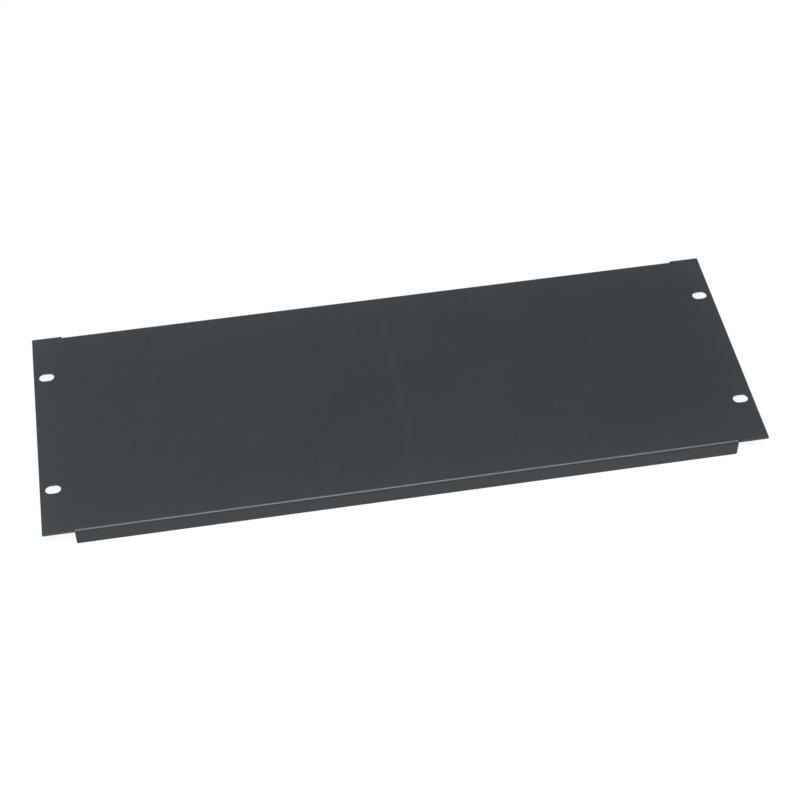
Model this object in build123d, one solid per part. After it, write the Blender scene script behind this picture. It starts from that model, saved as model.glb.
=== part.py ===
from build123d import *
from collections import Counter
import os

# Rack blanking panel: one sheet of steel, cut, folded and powder coated. It lies face up on the free
# edges of its two flanges. +X runs along its width, +Y to the edge that is uppermost in a rack, and
# +Z out of its front face. All sizes are in millimetres.

panel_width = 482.6  # 19 inch front panel
rack_unit = 44.45
units_tall = 4
neighbour_gap = 0.8  # free height left between one panel and the next
sheet = 1.2  # steel with its coat
flange_depth = 12.7  # front face to the free edge of a flange
bend_inside_radius = 1.1
ear_width = 20.8  # from a side edge to the flange ends; its back seats on the rack rail
ear_corner_radius = 0.8
ear_heel_radius = 0.3  # ear's corner beside a flange end
flange_corner_radius = 1.0
relief_width = 0.05  # hairline slit that parts an ear from the fold beside it
relief_reach = 0.3  # how far that slit runs past the bend line into the face
slot_width = 7.0  # clears an M6 screw
slot_travel = 3.3  # sideways play of the screw's centre in its slot
slot_inset = 8.75  # from a side edge to a slot's centre
slot_level = 38.1  # from the line between two rack units to a slot's centre
edge_break = 0.2  # every cut edge is deburred, front and back

panel_height = units_tall * rack_unit - neighbour_gap
edge_y = panel_height / 2
bend_outside_radius = bend_inside_radius + sheet
bend_line_y = edge_y - bend_outside_radius
flange_length = panel_width - 2 * ear_width
slot_spacing_x = panel_width - 2 * slot_inset
slot_spacing_y = units_tall * rack_unit - 2 * slot_level


def front_outline():
    """The face with its ears as cut: set back to the bend lines, and slit beside the ends of each fold."""
    outline = Rectangle(panel_width, panel_height)
    fold_gap = Rectangle(flange_length + 2 * relief_width, bend_outside_radius)
    outline -= GridLocations(0, 2 * edge_y - bend_outside_radius, 1, 2) * fold_gap
    slit = Rot(Z=90) * SlotCenterToCenter(2 * relief_reach - relief_width, relief_width)
    outline -= GridLocations(flange_length + relief_width, 2 * bend_line_y, 2, 2) * slit
    side_corners = outline.vertices().group_by(Axis.X)
    outline = fillet(side_corners[0] + side_corners[-1], ear_corner_radius)
    long_edges = outline.vertices().group_by(Axis.Y)
    heels = [vertex for row in (long_edges[0], long_edges[-1]) for vertex in row.sort_by(Axis.X)[1:-1]]
    return fillet(heels, ear_heel_radius)


def upper_fold():
    """The upper fold and its flange: a strip bent a quarter turn, from the bend line to its free edge."""
    bend = CenterArc((bend_line_y, flange_depth - bend_outside_radius), bend_outside_radius, 0, 90)
    skin = bend + Line(bend @ 0, (edge_y, 0))
    section = make_face(offset(skin, amount=sheet, side=Side.LEFT))
    strip = extrude(Plane.YZ * section, flange_length / 2, both=True)
    free_corners = strip.edges().filter_by(Axis.Y).group_by(Axis.Z)[0]
    return fillet(free_corners, flange_corner_radius)


def mounting_slots():
    """Cutters for the slots in the ears, which the rack screws pass through."""
    slot = SlotCenterToCenter(slot_travel, slot_width)
    places = GridLocations(slot_spacing_x, slot_spacing_y, 2, 2)
    return [extrude(outline, 2 * flange_depth) for outline in places * slot]


def cut_rims(body):
    """The edges where cut faces meet the sheet's front and back, on the flat and round the folds."""
    full_length = flange_length - flange_corner_radius
    broad_faces = body.faces().filter_by(lambda face: face.bounding_box().size.X > full_length)
    uses = Counter(edge for face in broad_faces for edge in face.edges())
    return [edge for edge, count in uses.items() if count == 1]


def blanking_panel():
    """The whole panel. Each edge that only one broad face of the sheet holds is a cut one."""
    face = extrude(Pos(Z=flange_depth - sheet) * front_outline(), sheet)
    fold = upper_fold()
    body = face + fold + mirror(fold, Plane.XZ) - mounting_slots()
    return chamfer(cut_rims(body), edge_break)


if __name__ == "__main__":
    os.makedirs("parts", exist_ok=True)
    export_step(blanking_panel(), "parts/blanking_panel.step")
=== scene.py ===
import math

import bpy
from mathutils import Matrix, Vector


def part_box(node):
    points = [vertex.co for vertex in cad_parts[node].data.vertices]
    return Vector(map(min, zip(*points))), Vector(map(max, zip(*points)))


# A rack blanking panel of folded, powder-coated steel, lying face up on a white floor. All lengths
# are in metres, in the frame of the CAD model: +X along the width, +Y to the upper edge in a rack.

MM = 0.001
PANEL = "blanking_panel"

# Viewpoint of the photograph, found from the corners, edges and slots of the panel.
SENSOR = 36.0  # millimetres, as Blender has it
CAMERA_LENS = 83.69  # millimetres
CAMERA_PLACE = Vector((-133.61, -853.96, 949.24)) * MM
CAMERA_AZIMUTH = math.radians(-9.287)
CAMERA_ELEVATION = math.radians(47.681)
CAMERA_ROLL = math.radians(0.51)

# Studio: a large key softbox high up on the camera's side, which the lower fold mirrors, and a
# small fill close by on the left. The floor glows, so that it shows as white.
KEY = dict(place=Vector((0.85, -4.4, 9.03)), size=(6.2, 6.6), watts=1290.0)
FILL = dict(place=Vector((-0.72, -0.1, 0.5)), size=(0.4, 0.4), watts=1.6)
FLOOR_SIZE = 12.0
FLOOR_GLOW = 0.9
FLOOR_SHOWN = 0.1  # the share it shows of the light on it, besides its glow
FLOOR_BOUNCE = 0.04  # the share of that light which it throws back on the panel

# Surroundings of the floor. A level of 1 shows as white.
BACKDROP_LEVEL = 0.9  # behind the panel
ROOM_LEVEL = 0.05  # behind the camera
ROOM_SPREAD = 0.3  # half the width of the change between the two, in the Y part of a direction
CEILING_LEVEL = 0.02
WALL_TOP = math.radians(8)  # above this height, seen from the panel, the walls darken
CEILING_START = math.radians(25)

# Powder coat, a dark slate grey with a slightly blue sheen.
COAT_COLOUR = (0.0385, 0.0451, 0.0507)
COAT_TINT = (0.9, 1.0, 1.06, 1.0)
COAT_SPECULAR = 0.335
COAT_ROUGHNESS = 0.29
ROUGHNESS_SPREAD = 0.025
ROUGHNESS_GRAIN = 0.5  # how much of the grain is laid over the mottle in the roughness

# Its patterns. A depth is the share by which a pattern lightens and darkens the coat.
PATTERN_MEAN = 0.5  # of Blender's noise
PATTERN_DETAIL = 2.0
PATTERN_ROUGHNESS = 0.6
CLOUD_SIZE, CLOUD_DEPTH = 45 * MM, 0.06
MOTTLE_SIZE, MOTTLE_DEPTH = 5 * MM, 0.05
GRAIN_SIZE, GRAIN_DEPTH = 0.9 * MM, 0.07

# Its relief: an orange peel with a fine tooth on it, and rims that the coat rounds.
PEEL_SIZE, PEEL_HEIGHT, PEEL_DETAIL = 2.2 * MM, 0.008 * MM, 1.0
TOOTH_SIZE, TOOTH_HEIGHT = 0.45 * MM, 0.006 * MM
RIM_RADIUS = 0.45 * MM
RIM_SAMPLES = 8

# On the face alone the coat has painted light: painted glare that makes it paler towards the edges,
# and one faint pale streak of painted reflection across the panel. It also has a few specks.
FACE_SKIN = 0.1 * MM  # how far below the face these reach
# Painted glare: the face is drawn lighter towards its edges.
EDGE_GLARE_REACH, EDGE_GLARE_DEPTH = 14 * MM, 0.17
# Painted reflection: a faint pale streak of reflected light across the face.
STREAK_PLACE = 4.5 * MM
STREAK_WIDTH = 2.8 * MM
STREAK_DEPTH = 0.065
STREAK_TOP = 70 * MM
STREAK_FADE = 12 * MM
STREAK_BEND_FROM = -42 * MM  # it runs straight down to here, then drifts to the left
STREAK_BEND_TO = -78 * MM
STREAK_DRIFT = -7 * MM
SPECK_RADIUS = 1.0 * MM
# Place across and up the face in millimetres, and depth, which is below zero for a dark speck.
SPECKS = ((-87.8, -24.5, 0.5), (107.2, -34.5, 0.2), (127.7, -73.5, 0.2), (105.2, 67.5, -0.15))


class NodeTree:
    """The nodes of one material or world. Each call adds nodes, fed by values or by other nodes."""

    def __init__(self, owner):
        owner.use_nodes = True
        self.tree = owner.node_tree
        self.tree.nodes.clear()

    def node(self, kind, inputs=None, **settings):
        node = self.tree.nodes.new(kind)
        for name, value in settings.items():
            setattr(node, name, value)
        for name, value in (inputs or {}).items():
            if isinstance(value, bpy.types.NodeSocket):
                self.tree.links.new(value, node.inputs[name])
            else:
                node.inputs[name].default_value = value
        return node

    def math(self, operation, *values):
        return self.node("ShaderNodeMath", dict(enumerate(values)), operation=operation).outputs[0]

    def total(self, values):
        result = values[0]
        for value in values[1:]:
            result = self.math("ADD", result, value)
        return result

    def ramp(self, value, from_min, from_max, to_min=0.0, to_max=1.0):
        """A soft step from one value to another."""
        inputs = {
            "Value": value,
            "From Min": from_min,
            "From Max": from_max,
            "To Min": to_min,
            "To Max": to_max,
        }
        return self.node("ShaderNodeMapRange", inputs, interpolation_type="SMOOTHSTEP").outputs[0]

    def bell(self, square_distance, radius):
        """One at the middle, and fading out round a radius."""
        return self.math("EXPONENT", self.math("DIVIDE", square_distance, -(radius**2)))

    def noise(self, place, size, detail=PATTERN_DETAIL):
        inputs = {
            "Vector": place,
            "Scale": 1 / size,
            "Detail": detail,
            "Roughness": PATTERN_ROUGHNESS,
        }
        return self.node("ShaderNodeTexNoise", inputs).outputs[0]

    def vary(self, pattern, depth):
        """A pattern as a share above and below zero."""
        return self.math("MULTIPLY_ADD", pattern, depth / PATTERN_MEAN, -depth)


def painted_reflection_streak(nodes, x, y, pattern):
    """A painted reflection: the pale streak across the face, which a pattern breaks up a little."""
    middle = nodes.ramp(y, STREAK_BEND_FROM, STREAK_BEND_TO, STREAK_PLACE, STREAK_PLACE + STREAK_DRIFT)
    aside = nodes.math("SUBTRACT", x, middle)
    line = nodes.bell(nodes.math("MULTIPLY", aside, aside), STREAK_WIDTH)
    ends = nodes.ramp(y, STREAK_TOP, STREAK_TOP - STREAK_FADE)
    strength = nodes.math("MULTIPLY", pattern, STREAK_DEPTH / PATTERN_MEAN)
    return nodes.math("MULTIPLY", nodes.math("MULTIPLY", line, ends), strength)


def speck(nodes, x, y, across, up, depth):
    """A small round speck on the face."""
    right = nodes.math("SUBTRACT", x, across * MM)
    above = nodes.math("SUBTRACT", y, up * MM)
    square = nodes.math("MULTIPLY_ADD", right, right, nodes.math("MULTIPLY", above, above))
    return nodes.math("MULTIPLY", nodes.bell(square, SPECK_RADIUS), depth)


def painted_edge_glare(nodes, x, y, corner):
    """Painted glare along the edges of the face, which lie as far from its middle as a corner."""
    sides = []
    for place, edge in ((x, corner.x), (y, corner.y)):
        inset = nodes.math("SUBTRACT", edge, nodes.math("ABSOLUTE", place))
        fade = nodes.math("EXPONENT", nodes.math("DIVIDE", inset, -EDGE_GLARE_REACH))
        sides.append(nodes.math("MULTIPLY", fade, EDGE_GLARE_DEPTH))
    return nodes.total(sides)


def face_specks_and_painted_light(nodes, place, pattern):
    """The painted glare, painted reflection and specks that lighten and darken the face, and nothing
    below it.
    """
    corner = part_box(PANEL)[1]
    x, y, z = nodes.node("ShaderNodeSeparateXYZ", {"Vector": place}).outputs
    # Painted reflection and painted glare, and the specks.
    specks_and_painted_light = [painted_reflection_streak(nodes, x, y, pattern), painted_edge_glare(nodes, x, y, corner)]
    specks_and_painted_light += [speck(nodes, x, y, *spot) for spot in SPECKS]
    on_face = nodes.math("GREATER_THAN", z, corner.z - FACE_SKIN)
    return nodes.math("MULTIPLY", nodes.total(specks_and_painted_light), on_face)


def relief(nodes, place):
    """The normal of the coat: rounded rims, then the orange peel, then the tooth."""
    surface = nodes.node("ShaderNodeBevel", {"Radius": RIM_RADIUS}, samples=RIM_SAMPLES).outputs[0]
    peel = nodes.noise(place, PEEL_SIZE, PEEL_DETAIL)
    tooth = nodes.noise(place, TOOTH_SIZE)
    for height, distance in ((peel, PEEL_HEIGHT), (tooth, TOOTH_HEIGHT)):
        inputs = {"Height": height, "Distance": distance, "Normal": surface}
        surface = nodes.node("ShaderNodeBump", inputs).outputs[0]
    return surface


def powder_coat():
    """Satin powder coat: faint clouds, mottle and grain, the specks and painted light on the face, and
    a fine relief.
    """
    material = bpy.data.materials.new("powder_coat_slate")
    nodes = NodeTree(material)
    place = nodes.node("ShaderNodeTexCoord").outputs["Object"]
    clouds = nodes.noise(place, CLOUD_SIZE)
    mottle = nodes.noise(place, MOTTLE_SIZE)
    grain = nodes.noise(place, GRAIN_SIZE)

    changes = [
        nodes.vary(clouds, CLOUD_DEPTH),
        nodes.vary(mottle, MOTTLE_DEPTH),
        nodes.vary(grain, GRAIN_DEPTH),
        # painted glare and painted reflection on the face, with its specks
        face_specks_and_painted_light(nodes, place, mottle),
    ]
    shade = nodes.math("ADD", nodes.total(changes), 1.0)
    colour = nodes.node("ShaderNodeVectorMath", {0: COAT_COLOUR, "Scale": shade}, operation="SCALE")
    grained = nodes.total([mottle, nodes.vary(grain, ROUGHNESS_GRAIN)])
    roughness = nodes.math("ADD", nodes.vary(grained, ROUGHNESS_SPREAD), COAT_ROUGHNESS)

    inputs = {
        "Base Color": colour.outputs[0],
        "Roughness": roughness,
        "Specular IOR Level": COAT_SPECULAR,
        "Specular Tint": COAT_TINT,
        "Normal": relief(nodes, place),
    }
    shader = nodes.node("ShaderNodeBsdfPrincipled", inputs)
    nodes.node("ShaderNodeOutputMaterial", {"Surface": shader.outputs[0]})
    return material


def grey(level):
    return (level, level, level, 1.0)


def white_floor():
    """Shows as white where the light is full, keeps a soft shadow, and throws little light back."""
    material = bpy.data.materials.new("white_floor")
    nodes = NodeTree(material)
    path = nodes.node("ShaderNodeLightPath").outputs
    seen = nodes.math("MAXIMUM", path["Is Camera Ray"], path["Is Glossy Ray"])
    seen = nodes.math("MAXIMUM", seen, path["Is Transmission Ray"])
    bounce = nodes.node("ShaderNodeBsdfDiffuse", {"Color": grey(FLOOR_BOUNCE)})
    lit = nodes.node("ShaderNodeBsdfDiffuse", {"Color": grey(FLOOR_SHOWN)})
    glow = nodes.node("ShaderNodeEmission", {"Strength": FLOOR_GLOW})
    shown = nodes.node("ShaderNodeAddShader", {0: lit.outputs[0], 1: glow.outputs[0]})
    mix = nodes.node("ShaderNodeMixShader", {0: seen, 1: bounce.outputs[0], 2: shown.outputs[0]})
    nodes.node("ShaderNodeOutputMaterial", {"Surface": mix.outputs[0]})
    return material


def link(item):
    bpy.context.scene.collection.objects.link(item)
    return item


def build_floor():
    half = FLOOR_SIZE / 2
    corners = [(-half, -half, 0), (half, -half, 0), (half, half, 0), (-half, half, 0)]
    mesh = bpy.data.meshes.new("floor")
    mesh.from_pydata(corners, [], [range(4)])
    mesh.materials.append(white_floor())
    link(bpy.data.objects.new("floor", mesh))


def build_world():
    """A pale backdrop behind the panel, a dim room on the camera's side, and a dim ceiling."""
    world = bpy.data.worlds.new("studio")
    bpy.context.scene.world = world
    nodes = NodeTree(world)
    direction = nodes.node("ShaderNodeTexCoord").outputs["Generated"]
    parts = nodes.node("ShaderNodeSeparateXYZ", {"Vector": direction}).outputs
    walls = nodes.ramp(parts["Y"], -ROOM_SPREAD, ROOM_SPREAD, ROOM_LEVEL, BACKDROP_LEVEL)
    wall_top, ceiling_start = math.sin(WALL_TOP), math.sin(CEILING_START)
    level = nodes.ramp(parts["Z"], wall_top, ceiling_start, walls, CEILING_LEVEL)
    background = nodes.node("ShaderNodeBackground", {"Color": grey(1.0), "Strength": level})
    nodes.node("ShaderNodeOutputWorld", {"Surface": background.outputs[0]})


def build_softbox(name, place, size, watts):
    """A rectangular lamp that faces the middle of the panel."""
    lamp = bpy.data.lights.new(name, "AREA")
    lamp.shape = "RECTANGLE"
    lamp.size, lamp.size_y = size
    lamp.energy = watts
    softbox = link(bpy.data.objects.new(name, lamp))
    softbox.location = place
    softbox.rotation_euler = (-place).to_track_quat("-Z", "Y").to_euler()


def build_camera():
    """The camera of the photograph, turned a little about its own axis."""
    data = bpy.data.cameras.new("camera")
    data.sensor_width = SENSOR
    data.lens = CAMERA_LENS
    camera = link(bpy.data.objects.new("camera", data))
    level = math.cos(CAMERA_ELEVATION)
    ahead = Vector(
        (
            -math.sin(CAMERA_AZIMUTH) * level,
            math.cos(CAMERA_AZIMUTH) * level,
            -math.sin(CAMERA_ELEVATION),
        )
    )
    turn = ahead.to_track_quat("-Z", "Y").to_matrix() @ Matrix.Rotation(-CAMERA_ROLL, 3, "Z")
    camera.matrix_world = Matrix.Translation(CAMERA_PLACE) @ turn.to_4x4()
    bpy.context.scene.camera = camera


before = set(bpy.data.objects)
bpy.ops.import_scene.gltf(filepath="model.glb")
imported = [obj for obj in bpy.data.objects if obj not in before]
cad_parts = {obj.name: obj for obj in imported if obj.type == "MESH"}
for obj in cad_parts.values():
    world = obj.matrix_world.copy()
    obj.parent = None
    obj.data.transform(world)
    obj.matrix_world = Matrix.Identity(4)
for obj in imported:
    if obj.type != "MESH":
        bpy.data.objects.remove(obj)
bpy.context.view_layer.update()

coat = powder_coat()
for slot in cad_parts[PANEL].material_slots:
    slot.material = coat

build_floor()
build_world()
build_softbox("key_softbox", **KEY)
build_softbox("fill_softbox", **FILL)
build_camera()
bpy.context.scene.view_settings.view_transform = "Standard"
